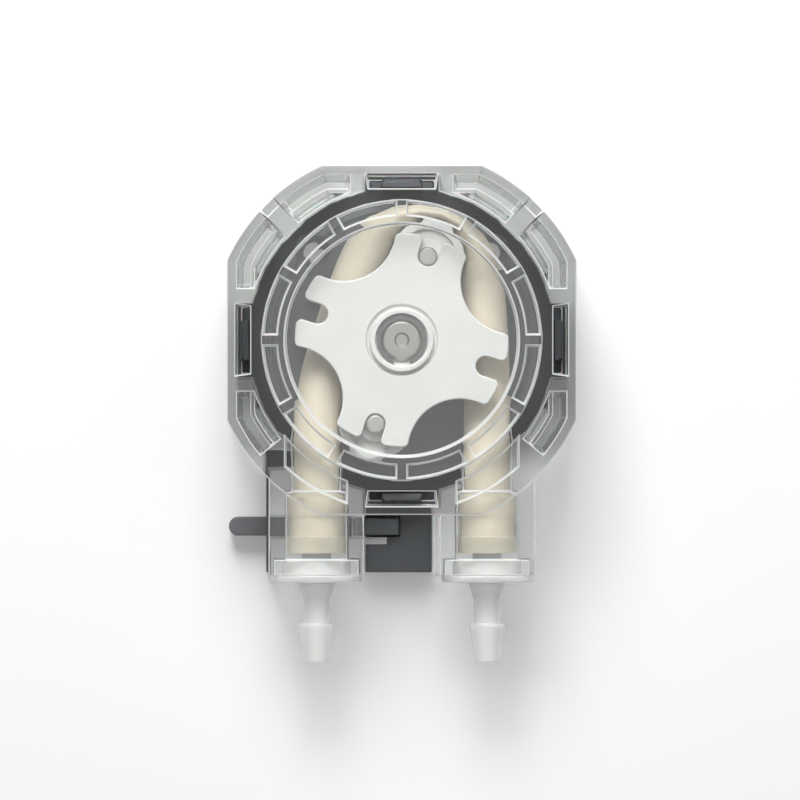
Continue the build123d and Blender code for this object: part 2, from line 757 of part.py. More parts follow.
with BuildPart() as rotor_front_plate:
    with BuildSketch(level(plate_gap_front)):
        add(rotor_outline())
    extrude(amount=front_plate_thickness)
    with BuildSketch(level(plate_front_depth)):
        Circle(collar_outer_radius)
    extrude(amount=collar_height)
    with BuildSketch(level(plate_front_depth)):
        Circle(collar_outer_radius + collar_groove_width)
        Circle(collar_outer_radius, mode=Mode.SUBTRACT)
    extrude(amount=-collar_groove_depth, mode=Mode.SUBTRACT)
    with BuildSketch(level(plate_gap_front)):
        Circle(shaft_radius + SEAT_GAP)
    extrude(amount=front_plate_thickness, mode=Mode.SUBTRACT)
    with BuildSketch(level(ring_rear_depth)):
        Circle(collar_inner_radius)
    extrude(amount=ring_thickness + collar_height, mode=Mode.SUBTRACT)

finish(rotor_front_plate.part, "rotor_front_plate")

# ---------------------------------------------------------------------- rollers

for letter, angle in (("a", arm_angle), ("b", arm_angle + 180)):
    with BuildPart() as roller:
        with BuildSketch(level(roller_rear_depth)):
            with Locations(arm_point(roller_pin_circle, angle)):
                Circle(roller_radius)
        extrude(amount=roller_length)
        chamfer(roller.edges().filter_by(GeomType.CIRCLE), roller_edge_chamfer)
        for end_depth, direction in (
            (roller_rear_depth, 1),
            (roller_rear_depth + roller_length, -1),
        ):
            with BuildSketch(level(end_depth)):
                with Locations(arm_point(roller_pin_circle, angle)):
                    Circle(roller_radius - roller_end_wall)
                    Circle(washer_radius, mode=Mode.SUBTRACT)
            extrude(amount=direction * roller_end_recess, mode=Mode.SUBTRACT)
        with BuildSketch(level(roller_rear_depth)):
            with Locations(arm_point(roller_pin_circle, angle)):
                Circle(roller_bore_radius + bush_wall)
        extrude(amount=roller_length, mode=Mode.SUBTRACT)
    finish(roller.part, f"roller_{letter}")

    with BuildPart() as bush:
        with BuildSketch(level(roller_rear_depth)):
            with Locations(arm_point(roller_pin_circle, angle)):
                Circle(roller_bore_radius + bush_wall)
                Circle(roller_bore_radius, mode=Mode.SUBTRACT)
        extrude(amount=roller_length)
    finish(bush.part, f"roller_bush_{letter}")

    with BuildPart() as pin:
        with BuildSketch(level(rotor_rear_depth)):
            with Locations(arm_point(roller_pin_circle, angle)):
                Circle(pin_radius)
        extrude(amount=plate_front_depth + pin_dome - rotor_rear_depth)
        chamfer(pin.edges().group_by(Axis.Y)[0], pin_dome)
    finish(pin.part, f"roller_pin_{letter}")

with BuildPart() as roller_washers:
    for washer_depth in (plate_gap_rear, plate_gap_front - washer_thickness):
        with BuildSketch(level(washer_depth)):
            with PolarLocations(roller_pin_circle, 2, start_angle=arm_angle):
                Circle(washer_radius)
                Circle(pin_radius + SEAT_GAP, mode=Mode.SUBTRACT)
        extrude(amount=washer_thickness)

finish(roller_washers.part, "roller_washers")

# ------------------------------------------------------------- hose connectors

for side, name in ((-1, "inlet_connector"), (1, "outlet_connector")):
    lip_top = block_bottom
    lip_bottom = lip_top - lip_height
    land_top = lip_bottom - neck_bottom_drop
    stem_top = tube_grip_top + FACE_GAP
    inner_barb_bottom = stem_top - inner_barb_length
    with BuildPart() as connector:
        with BuildSketch(port_plane(side)):
            with BuildLine():
                Polyline(
                    (connector_bore_radius, stem_top),
                    (barb_tip_radius, stem_top),
                    (inner_barb_radius, inner_barb_bottom),
                    (inner_stem_radius, inner_barb_bottom),
                    (inner_stem_radius, plug_top),
                    (plug_radius, plug_top),
                    (plug_radius, lip_top),
                    (lip_radius, lip_top),
                    (lip_radius, lip_bottom),
                    (neck_root_radius, lip_bottom - FACE_GAP),
                    (neck_radius, lip_bottom - neck_top_drop),
                    (neck_radius, land_top),
                    (barb_radius, land_top),
                    (barb_radius, land_top - barb_land),
                    (barb_tip_radius, connector_tip),
                    (connector_bore_radius, connector_tip),
                    close=True,
                )
            make_face()
        revolve(axis=port_axis(side))
    finish(connector.part, name)

# One ring clamps each tube end on its inner barb, and one keeper closes each channel
with BuildPart() as tube_end_rings:
    for side in (-1, 1):
        ring_inner_radius = tube_radius + tube_swell - tube_relief + SEAT_GAP
        with BuildSketch(Plane.XY.offset(tube_end)):
            with Locations((side * port_x, -tube_depth)):
                Circle(ring_inner_radius + end_ring_wall)
                Circle(ring_inner_radius, mode=Mode.SUBTRACT)
        extrude(amount=end_ring_length)

finish(tube_end_rings.part, "tube_end_rings")

keeper_half_width = grip_half_width - SEAT_GAP
keeper_rib_offset = keeper_half_width - keeper_rib_width
keeper_z = tube_end + keeper_length / 2
with BuildPart() as tube_keepers:
    with BuildSketch(level(keeper_rear_depth)):
        with Locations((-port_x, keeper_z), (port_x, keeper_z)):
            Rectangle(2 * keeper_half_width, keeper_length)
    extrude(amount=keeper_thickness)
    # Side ribs that reach forward to the swollen tube end
    rib_front_depth = tube_depth - sqrt(grip_half_width**2 - keeper_rib_offset**2)
    with BuildSketch(level(keeper_rear_depth)):
        for side in (-port_x, port_x):
            with Locations(
                (side - keeper_half_width + keeper_rib_width / 2, keeper_z),
                (side + keeper_half_width - keeper_rib_width / 2, keeper_z),
            ):
                Rectangle(keeper_rib_width, keeper_length)
    extrude(amount=rib_front_depth - keeper_rear_depth)

finish(tube_keepers.part, "tube_keepers")

# ------------------------------------------------------------------ pump tube

# The tube's centre line in the front view. It leaves one port, runs up beside the hub,
# is squeezed between the upper roller and the race, and comes down the other side.


def squeezed_point(turn):
    """Point midway between the upper roller and the race, at an angle from its arm."""
    ahead = roller_pin_circle * cos(radians(turn))
    aside = roller_pin_circle * sin(radians(turn))
    roller_face = ahead + sqrt(roller_radius**2 - aside**2)
    return arm_point((roller_face + race_radius) / 2, arm_angle + turn)


# Free points of the route, as shares of the race radius
rising_shares = [
    (-0.616, -0.595),
    (-0.574, -0.331),
    (-0.521, -0.124),
    (-0.442, 0.128),
    (-0.364, 0.355),
    (-0.273, 0.587),
    (-0.153, 0.785),
]
falling_shares = [(0.562, 0.603), (0.574, 0.455), (0.579, 0.269), (0.595, 0.025), (0.607, -0.331)]
squeezed_turns = [squeeze_half_angle * (2 - step) / 2 for step in range(5)]
tube_route = [
    (-port_x, leg_top),
    *[(x * race_radius, z * race_radius) for x, z in rising_shares],
    *[squeezed_point(turn) for turn in squeezed_turns],
    *[(x * race_radius, z * race_radius) for x, z in falling_shares],
    (port_x, leg_top),
]

with BuildLine(Plane.XZ) as tube_path:
    Spline(*tube_route, tangents=[(0, 1), (0, -1)])


def tube_half_thickness(point):
    """Half of the thickness that the rollers and the race leave for the tube."""
    room = [tube_radius]
    if point.Z > 0:
        room.append(race_radius - RUNNING_GAP - sqrt(point.X**2 + point.Z**2))
    for angle in (arm_angle, arm_angle + 180):
        roller_x, roller_z = arm_point(roller_pin_circle, angle)
        reach = sqrt((point.X - roller_x) ** 2 + (point.Z - roller_z) ** 2)
        room.append(reach - roller_radius - tube_roller_gap)
    return min(room)


def tube_section(place, wall):
    """The tube's cross-section inside a wall, at a share of the way along its route."""
    point = tube_path.line @ place
    half_thickness = tube_half_thickness(point)
    # A flattened tube is wider, so that the length round its wall stays the same
    half_width = sqrt(2 * tube_radius**2 - half_thickness**2)
    origin = (point.X, -tube_depth, point.Z)
    with BuildSketch(
        Plane(origin=origin, x_dir=(0, 1, 0), z_dir=tube_path.line % place), mode=Mode.PRIVATE
    ) as section:
        Ellipse(half_width - wall, max(half_thickness - wall, closed_lumen / 2))
    return section.sketch


tube_places = [step / tube_steps for step in range(tube_steps + 1)]
with BuildPart() as pump_tube:
    loft([tube_section(place, 0) for place in tube_places], ruled=True)
    # The lumen, nearly closed under the roller
    loft([tube_section(place, tube_wall) for place in tube_places], ruled=True, mode=Mode.SUBTRACT)
    # Straight legs with swollen ends, gripped by the connectors
    for side in (-1, 1):
        swollen_radius = tube_radius + tube_swell
        grip_bottom = tube_grip_top - inner_barb_length
        with BuildSketch(port_plane(side)):
            with BuildLine():
                Polyline(
                    (tube_radius - tube_wall, leg_top),
                    (tube_radius, leg_top),
                    (tube_radius, tube_grip_top),
                    (swollen_radius, tube_grip_top - tube_swell),
                    (swollen_radius, grip_bottom),
                    (swollen_radius - tube_relief, grip_bottom - tube_relief),
                    (swollen_radius - tube_relief, tube_end),
                    (inner_barb_radius + SEAT_GAP, tube_end),
                    (inner_barb_radius + SEAT_GAP, grip_bottom + FACE_GAP),
                    (tube_radius - tube_wall, tube_grip_top + FACE_GAP),
                    close=True,
                )
            make_face()
        revolve(axis=port_axis(side))

finish(pump_tube.part, "pump_tube")
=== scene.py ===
import logging
from dataclasses import dataclass, field
from enum import Enum
from math import pi, radians

import bmesh
import bpy
from mathutils import Matrix, Vector


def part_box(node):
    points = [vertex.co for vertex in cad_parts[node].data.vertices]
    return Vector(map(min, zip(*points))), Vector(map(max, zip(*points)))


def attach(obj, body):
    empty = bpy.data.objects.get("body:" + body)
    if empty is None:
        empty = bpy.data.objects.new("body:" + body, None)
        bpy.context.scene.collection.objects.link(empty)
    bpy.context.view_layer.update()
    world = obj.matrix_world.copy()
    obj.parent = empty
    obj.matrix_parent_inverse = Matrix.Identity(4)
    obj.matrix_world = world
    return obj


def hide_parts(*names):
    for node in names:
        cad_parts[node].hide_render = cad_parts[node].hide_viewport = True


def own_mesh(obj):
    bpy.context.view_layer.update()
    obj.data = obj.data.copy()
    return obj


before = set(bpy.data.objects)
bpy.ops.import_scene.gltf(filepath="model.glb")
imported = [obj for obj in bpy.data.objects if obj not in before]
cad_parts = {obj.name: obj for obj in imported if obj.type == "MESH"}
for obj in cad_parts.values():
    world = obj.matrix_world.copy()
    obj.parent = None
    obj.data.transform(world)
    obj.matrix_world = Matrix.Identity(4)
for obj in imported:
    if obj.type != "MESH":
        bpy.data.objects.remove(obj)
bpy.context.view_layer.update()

MM = 0.001
MERGE_DISTANCE = 0.001 * MM
CIRCLE_TOLERANCE = 0.02 * MM
FLAT_DEGREES = 0.4
GLOSS_DRIFT_RATIO = 2.3

# What lies in front of this Y, in metres, belongs to the cover's front face
FRONT_Y = -0.029
# The step round the cover's window, in metres from the rotor's axis
WINDOW_STEP_RADIUS = 0.0199

DARK_COLOUR = (0.082, 0.087, 0.096)
WHITE = (1, 1, 1, 1)
LOG = logging.getLogger("pump_head")


class Body(Enum):
    """The moving bodies of the pump head."""

    ROOT = "root"
    ROTOR = "rotor"
    BALL_SET = "ball_set"
    ROLLER_A = "roller_a_spin_body"
    ROLLER_B = "roller_b_spin_body"
    LATCH = "latch"


class Marks(Enum):
    """How the tool marks run on a metal surface."""

    NONE = "none"
    TURNED_Y = "turned_y"
    BRUSHED_X = "brushed_x"


# ------------------------------------------------------------------ node groups


def new_group(name: str, inputs: dict[str, float], outputs: dict[str, str]) -> bpy.types.ShaderNodeTree:
    """Starts a shader node group with float inputs.

    Args:
        name: The group's name.
        inputs: Float inputs with their defaults.
        outputs: Output names with their socket types.

    Returns:
        The empty group, with its input and output nodes in place.
    """
    group = bpy.data.node_groups.new(name, "ShaderNodeTree")
    for label, value in inputs.items():
        socket = group.interface.new_socket(label, in_out="INPUT", socket_type="NodeSocketFloat")
        socket.default_value = value
    for label, kind in outputs.items():
        group.interface.new_socket(label, in_out="OUTPUT", socket_type=kind)
    group.nodes.new("NodeGroupInput").name = "in"
    group.nodes.new("NodeGroupOutput").name = "out"
    return group


def grain_group() -> bpy.types.ShaderNodeTree:
    """A height field of moulding grain with soft, larger swells.

    Returns:
        A group with inputs Scale and Swell and the output Height.
    """
    group = new_group("moulding_grain", {"Scale": 4000.0, "Swell": 0.4}, {"Height": "NodeSocketFloat"})
    nodes, links = group.nodes, group.links
    place = nodes.new("ShaderNodeTexCoord")
    fine = nodes.new("ShaderNodeTexNoise")
    fine.inputs["Detail"].default_value = 3.0
    broad = nodes.new("ShaderNodeTexNoise")
    broad.inputs["Scale"].default_value = 160.0
    broad.inputs["Detail"].default_value = 1.0
    mix = nodes.new("ShaderNodeMix")
    links.new(place.outputs["Object"], fine.inputs["Vector"])
    links.new(place.outputs["Object"], broad.inputs["Vector"])
    links.new(nodes["in"].outputs["Scale"], fine.inputs["Scale"])
    links.new(nodes["in"].outputs["Swell"], mix.inputs["Factor"])
    links.new(fine.outputs["Fac"], mix.inputs["A"])
    links.new(broad.outputs["Fac"], mix.inputs["B"])
    links.new(mix.outputs["Result"], nodes["out"].inputs["Height"])
    return group


def drift_group() -> bpy.types.ShaderNodeTree:
    """A slow drift about 1.0, for tone and for roughness.

    Returns:
        A group with inputs Scale and Amount and the output Factor.
    """
    group = new_group("tone_drift", {"Scale": 120.0, "Amount": 0.05}, {"Factor": "NodeSocketFloat"})
    nodes, links = group.nodes, group.links
    place = nodes.new("ShaderNodeTexCoord")
    noise = nodes.new("ShaderNodeTexNoise")
    noise.inputs["Detail"].default_value = 2.0
    centred = nodes.new("ShaderNodeMath")
    centred.operation = "SUBTRACT"
    centred.inputs[1].default_value = 0.5
    scaled = nodes.new("ShaderNodeMath")
    scaled.operation = "MULTIPLY"
    lifted = nodes.new("ShaderNodeMath")
    lifted.operation = "ADD"
    lifted.inputs[1].default_value = 1.0
    links.new(place.outputs["Object"], noise.inputs["Vector"])
    links.new(nodes["in"].outputs["Scale"], noise.inputs["Scale"])
    links.new(noise.outputs["Fac"], centred.inputs[0])
    links.new(centred.outputs[0], scaled.inputs[0])
    links.new(nodes["in"].outputs["Amount"], scaled.inputs[1])
    links.new(scaled.outputs[0], lifted.inputs[0])
    links.new(lifted.outputs[0], nodes["out"].inputs["Factor"])
    return group


def marks_group(marks: Marks) -> bpy.types.ShaderNodeTree:
    """Fine tool marks: rings about the Y axis, or long scratches along X.

    Args:
        marks: Which way the marks run.

    Returns:
        A group with the input Scale and the output Height.
    """
    group = new_group(f"tool_marks_{marks.value}", {"Scale": 1800.0}, {"Height": "NodeSocketFloat"})
    nodes, links = group.nodes, group.links
    place = nodes.new("ShaderNodeTexCoord")
    if marks is Marks.TURNED_Y:
        wave = nodes.new("ShaderNodeTexWave")
        wave.wave_type = "RINGS"
        wave.rings_direction = "Y"
        wave.inputs["Distortion"].default_value = 0.6
        wave.inputs["Detail"].default_value = 1.0
        links.new(place.outputs["Object"], wave.inputs["Vector"])
        links.new(nodes["in"].outputs["Scale"], wave.inputs["Scale"])
        links.new(wave.outputs["Fac"], nodes["out"].inputs["Height"])
        return group
    stretch = nodes.new("ShaderNodeMapping")
    stretch.inputs["Scale"].default_value = (0.04, 1.0, 1.0)
    noise = nodes.new("ShaderNodeTexNoise")
    noise.inputs["Detail"].default_value = 2.0
    links.new(place.outputs["Object"], stretch.inputs["Vector"])
    links.new(stretch.outputs["Vector"], noise.inputs["Vector"])
    links.new(nodes["in"].outputs["Scale"], noise.inputs["Scale"])
    links.new(noise.outputs["Fac"], nodes["out"].inputs["Height"])
    return group


GRAIN = grain_group()
DRIFT = drift_group()
TOOL_MARKS = {marks: marks_group(marks) for marks in (Marks.TURNED_Y, Marks.BRUSHED_X)}


# --------------------------------------------------------------------- finishes


@dataclass(frozen=True)
class Finish:
    """What every finish shares: a colour, a roughness and their slow drift."""

    name: str
    colour: tuple[float, float, float]
    roughness: float
    tone_drift: float = 0.06
    gloss_drift: float = 0.25
    drift_scale: float = 140.0

    def start(self) -> tuple[bpy.types.Material, bpy.types.Node]:
        """Makes a material whose colour and roughness drift slowly.

        Returns:
            The material and its Principled shader.
        """
        material = bpy.data.materials.new(self.name)
        material.use_nodes = True
        nodes, links = material.node_tree.nodes, material.node_tree.links
        shader = nodes["Principled BSDF"]
        tone = nodes.new("ShaderNodeGroup")
        tone.node_tree = DRIFT
        tone.inputs["Scale"].default_value = self.drift_scale
        tone.inputs["Amount"].default_value = self.tone_drift
        colour = nodes.new("ShaderNodeVectorMath")
        colour.operation = "SCALE"
        colour.inputs[0].default_value = self.colour
        links.new(tone.outputs["Factor"], colour.inputs["Scale"])
        links.new(colour.outputs["Vector"], shader.inputs["Base Color"])
        gloss = nodes.new("ShaderNodeGroup")
        gloss.node_tree = DRIFT
        gloss.inputs["Scale"].default_value = self.drift_scale * GLOSS_DRIFT_RATIO
        gloss.inputs["Amount"].default_value = self.gloss_drift
        rough = nodes.new("ShaderNodeMath")
        rough.operation = "MULTIPLY"
        rough.inputs[1].default_value = self.roughness
        links.new(gloss.outputs["Factor"], rough.inputs[0])
        links.new(rough.outputs[0], shader.inputs["Roughness"])
        return material, shader

    def add_height(
        self, material: bpy.types.Material, group: bpy.types.ShaderNodeTree, scale: float, depth_mm: float
    ) -> None:
        """Feeds a group's height through a Bump node to the shader's normal.

        Args:
            material: The material to finish.
            group: The group whose Height is used.
            scale: The pattern's scale, in waves per metre.
            depth_mm: How deep the pattern is, in millimetres.
        """
        nodes, links = material.node_tree.nodes, material.node_tree.links
        pattern = nodes.new("ShaderNodeGroup")
        pattern.node_tree = group
        pattern.inputs["Scale"].default_value = scale
        bump = nodes.new("ShaderNodeBump")
        bump.inputs["Strength"].default_value = 1.0
        bump.inputs["Distance"].default_value = depth_mm * MM
        links.new(pattern.outputs["Height"], bump.inputs["Height"])
        links.new(bump.outputs["Normal"], nodes["Principled BSDF"].inputs["Normal"])


@dataclass(frozen=True)
class MouldedPlastic(Finish):
    """Opaque moulded plastic with a fine grain."""

    grain_mm: float = 0.006
    grain_scale: float = 4200.0
    scatter: float = 0.0
    scatter_mm: tuple[float, float, float] = (1.0, 1.0, 1.0)

    def build(self) -> bpy.types.Material:
        """Returns the finished material."""
        material, shader = self.start()
        if self.scatter > 0:
            shader.inputs["Subsurface Weight"].default_value = self.scatter
            shader.inputs["Subsurface Radius"].default_value = self.scatter_mm
            shader.inputs["Subsurface Scale"].default_value = MM
        self.add_height(material, GRAIN, self.grain_scale, self.grain_mm)
        return material


@dataclass(frozen=True)
class InnerShadedPlastic(MouldedPlastic):
    """Moulded plastic painted darker to the right of a line, as painted shade where it runs in under the
    cover.
    """

    inner_shade_colour: tuple[float, float, float, float] = (*DARK_COLOUR, 1.0)
    line_x: float = -0.0232

    def build(self) -> bpy.types.Material:
        """Returns the finished material."""
        material = super().build()
        nodes, links = material.node_tree.nodes, material.node_tree.links
        shader = nodes["Principled BSDF"]
        outer_tone = shader.inputs["Base Color"].links[0].from_socket
        place = nodes.new("ShaderNodeTexCoord")
        axes = nodes.new("ShaderNodeSeparateXYZ")
        inside = nodes.new("ShaderNodeMath")
        inside.operation = "GREATER_THAN"
        inside.inputs[1].default_value = self.line_x
        # Painted shade: to the right of the line the colour turns to the darker inner colour.
        tone = nodes.new("ShaderNodeMix")
        tone.data_type = "RGBA"
        tone.inputs["B"].default_value = self.inner_shade_colour
        links.new(place.outputs["Object"], axes.inputs[0])
        links.new(axes.outputs["X"], inside.inputs[0])
        links.new(inside.outputs[0], tone.inputs["Factor"])
        links.new(outer_tone, tone.inputs["A"])
        links.new(tone.outputs["Result"], shader.inputs["Base Color"])
        return material


@dataclass(frozen=True)
class ClearPlastic(Finish):
    """Polished clear plastic, which lets the lamps' light straight through."""

    index: float = 1.49
    ripple_mm: float = 0.002
    ripple_scale: float = 220.0
    clearness: float = 1.0
    absorption: float = 0.0
    absorption_colour: tuple[float, float, float, float] = (0.1, 0.12, 0.1, 1)
    face_tint: tuple[float, float, float, float] = (0.94, 0.945, 0.94, 1.0)
    edge_tint: tuple[float, float, float, float] = (0.5, 0.51, 0.51, 1.0)

    def build(self) -> bpy.types.Material:
        """Returns the finished material."""
        material, shader = self.start()
        shader.inputs["Transmission Weight"].default_value = self.clearness
        shader.inputs["IOR"].default_value = self.index
        self.add_height(material, GRAIN, self.ripple_scale, self.ripple_mm)
        nodes, links = material.node_tree.nodes, material.node_tree.links
        path = nodes.new("ShaderNodeLightPath")
        slant = nodes.new("ShaderNodeLayerWeight")
        slant.inputs["Blend"].default_value = 0.5
        tint = nodes.new("ShaderNodeMix")
        tint.data_type = "RGBA"
        tint.inputs["A"].default_value = self.face_tint
        tint.inputs["B"].default_value = self.edge_tint
        through = nodes.new("ShaderNodeBsdfTransparent")
        mix = nodes.new("ShaderNodeMixShader")
        links.new(slant.outputs["Facing"], tint.inputs["Factor"])
        links.new(tint.outputs["Result"], through.inputs["Color"])
        links.new(path.outputs["Is Shadow Ray"], mix.inputs[0])
        links.new(shader.outputs["BSDF"], mix.inputs[1])
        links.new(through.outputs["BSDF"], mix.inputs[2])
        links.new(mix.outputs["Shader"], nodes["Material Output"].inputs["Surface"])
        if self.absorption > 0:
            depth = nodes.new("ShaderNodeVolumeAbsorption")
            depth.inputs["Color"].default_value = self.absorption_colour
            depth.inputs["Density"].default_value = self.absorption
            links.new(depth.outputs["Volume"], nodes["Material Output"].inputs["Volume"])
        return material


@dataclass(frozen=True)
class RimShadedPlastic(ClearPlastic):
    """Clear plastic painted greyer outside the race, above the tube ports: painted shade on the rim."""

    rim_shade_colour: tuple[float, float, float, float] = (0.54, 0.55, 0.54, 1.0)
    radii: tuple[float, float] = (0.0235, 0.0275)
    heights: tuple[float, float] = (-0.024, -0.017)

    def build(self) -> bpy.types.Material:
        """Returns the finished material."""
        material = super().build()
        nodes, links = material.node_tree.nodes, material.node_tree.links
        shader = nodes["Principled BSDF"]
        plain = shader.inputs["Base Color"].links[0].from_socket
        place = nodes.new("ShaderNodeTexCoord")
        axes = nodes.new("ShaderNodeSeparateXYZ")
        links.new(place.outputs["Object"], axes.inputs[0])
        flat = nodes.new("ShaderNodeCombineXYZ")
        links.new(axes.outputs["X"], flat.inputs["X"])
        links.new(axes.outputs["Z"], flat.inputs["Z"])
        reach = nodes.new("ShaderNodeVectorMath")
        reach.operation = "LENGTH"
        links.new(flat.outputs["Vector"], reach.inputs[0])
        masks = []
        for value, span in ((reach.outputs["Value"], self.radii), (axes.outputs["Z"], self.heights)):
            ramp = nodes.new("ShaderNodeMapRange")
            ramp.interpolation_type = "SMOOTHSTEP"
            ramp.inputs["From Min"].default_value = span[0]
            ramp.inputs["From Max"].default_value = span[1]
            links.new(value, ramp.inputs["Value"])
            masks.append(ramp.outputs["Result"])
        both = nodes.new("ShaderNodeMath")
        both.operation = "MULTIPLY"
        links.new(masks[0], both.inputs[0])
        links.new(masks[1], both.inputs[1])
        # Painted shade: the base colour turns grey outside the race and above the tube ports.
        tone = nodes.new("ShaderNodeMix")
        tone.data_type = "RGBA"
        tone.inputs["B"].default_value = self.rim_shade_colour
        links.new(both.outputs[0], tone.inputs["Factor"])
        links.new(plain, tone.inputs["A"])
        links.new(tone.outputs["Result"], shader.inputs["Base Color"])
        return material


@dataclass(frozen=True)
class NaturalPlastic(ClearPlastic):
    """Unfilled milky plastic: partly clear, partly scattering."""

    clearness: float = 0.35
    scatter: float = 0.6
    scatter_reach: tuple[float, float, float] = (1.0, 1.0, 0.9)
    scatter_depth_mm: float = 2.0

    def build(self) -> bpy.types.Material:
        """Returns the finished material."""
        material = super().build()
        shader = material.node_tree.nodes["Principled BSDF"]
        shader.inputs["Subsurface Weight"].default_value = self.scatter
        shader.inputs["Subsurface Radius"].default_value = self.scatter_reach
        shader.inputs["Subsurface Scale"].default_value = self.scatter_depth_mm * MM
        return material


@dataclass(frozen=True)
class PaintedHighlightEdge(Finish):
    """The rounded edges of clear plastic, painted a partly clear white as a painted highlight along them."""

    see_through: float = 0.2
    edge_tint: tuple[float, float, float, float] = (0.8, 0.8, 0.8, 1.0)
    scatter: float = 0.3
    scatter_depth_mm: float = 0.5
    grain_scale: float = 2400.0
    grain_mm: float = 0.004

    def build(self) -> bpy.types.Material:
        """Returns the finished material."""
        material, shader = self.start()
        shader.inputs["Subsurface Weight"].default_value = self.scatter
        shader.inputs["Subsurface Scale"].default_value = self.scatter_depth_mm * MM
        self.add_height(material, GRAIN, self.grain_scale, self.grain_mm)
        nodes, links = material.node_tree.nodes, material.node_tree.links
        clear = nodes.new("ShaderNodeBsdfTransparent")
        clear.inputs["Color"].default_value = self.edge_tint
        mix = nodes.new("ShaderNodeMixShader")
        mix.inputs[0].default_value = self.see_through
        links.new(shader.outputs["BSDF"], mix.inputs[1])
        links.new(clear.outputs["BSDF"], mix.inputs[2])
        links.new(mix.outputs["Shader"], nodes["Material Output"].inputs["Surface"])
        return material


@dataclass(frozen=True)
class Metal(Finish):
    """Bare metal with tool marks."""

    marks: Marks = Marks.NONE
    mark_mm: float = 0.004
    mark_scale: float = 1500.0
    grain_scale: float = 3000.0

    def build(self) -> bpy.types.Material:
        """Returns the finished material."""
        material, shader = self.start()
        shader.inputs["Metallic"].default_value = 1.0
        if self.marks is Marks.NONE:
            self.add_height(material, GRAIN, self.grain_scale, self.mark_mm)
        else:
            self.add_height(material, TOOL_MARKS[self.marks], self.mark_scale, self.mark_mm)
        return material


# The cover's rim carries painted shade, greyer outside the race.
CLEAR_COVER = RimShadedPlastic(
    "clear_polycarbonate", (0.965, 0.97, 0.965), 0.03, clearness=0.965, absorption=7.0
)
# The cover's rounded edges carry a painted white highlight.
COVER_EDGE_HIGHLIGHT = PaintedHighlightEdge("clear_polycarbonate_edge_highlight", (0.93, 0.935, 0.93), 0.3, 0.04)
DARK_PLATE = MouldedPlastic("dark_plate_plastic", DARK_COLOUR, 0.5)
# The lever is painted darker to the right of x = -23.2 mm, as painted shade under the cover.
LEVER = InnerShadedPlastic("lever_plastic", (0.172, 0.175, 0.186), 0.48)
ROTOR_WHITE = MouldedPlastic(
    "rotor_acetal", (0.675, 0.675, 0.66), 0.36, 0.02, 0.2, grain_mm=0.002, scatter=0.15
)
ROLLER_WHITE = MouldedPlastic(
    "roller_acetal", (0.70, 0.70, 0.68), 0.3, 0.02, 0.2, grain_mm=0.002, scatter=0.15
)
WASHER_WHITE = MouldedPlastic("washer_plastic", (0.8, 0.8, 0.78), 0.4, 0.03)
CAGE_NYLON = MouldedPlastic("cage_nylon", (0.72, 0.66, 0.5), 0.5)
TUBE_CREAM = MouldedPlastic(
    "tube_rubber", (0.82, 0.735, 0.59), 0.46, 0.07, 0.2, 90.0, grain_mm=0.01, grain_scale=1500.0, scatter=0.25
)
WHITE_INK = MouldedPlastic("index_white", (0.97, 0.97, 0.99), 0.5, 0.02)
CONNECTOR = NaturalPlastic("natural_polypropylene", (0.96, 0.965, 0.95), 0.22, 0.03)
RING_CREAM = NaturalPlastic("natural_ring_plastic", (0.9, 0.84, 0.68), 0.3, 0.03)
SHAFT_STEEL = Metal("turned_steel", (0.34, 0.335, 0.315), 0.36, 0.05, marks=Marks.TURNED_Y)
PIN_STEEL = Metal("ground_steel", (0.46, 0.45, 0.43), 0.3, 0.05, marks=Marks.TURNED_Y)
BEARING_STEEL = Metal("bearing_steel", (0.66, 0.66, 0.67), 0.18, 0.04, marks=Marks.TURNED_Y, mark_mm=0.002)
SCREW_STEEL = Metal("screw_steel", (0.5, 0.5, 0.5), 0.35, 0.06, marks=Marks.NONE)
SPRING_STEEL = Metal("spring_wire", (0.55, 0.55, 0.56), 0.3, 0.04, marks=Marks.BRUSHED_X)
BLACK_STEEL = Metal("black_steel", (0.14, 0.14, 0.14), 0.4, 0.1, marks=Marks.NONE)
BRONZE = Metal("sintered_bronze", (0.6, 0.44, 0.25), 0.42, 0.1, marks=Marks.NONE, mark_mm=0.01)


# ---------------------------------------------------------------- shared makers


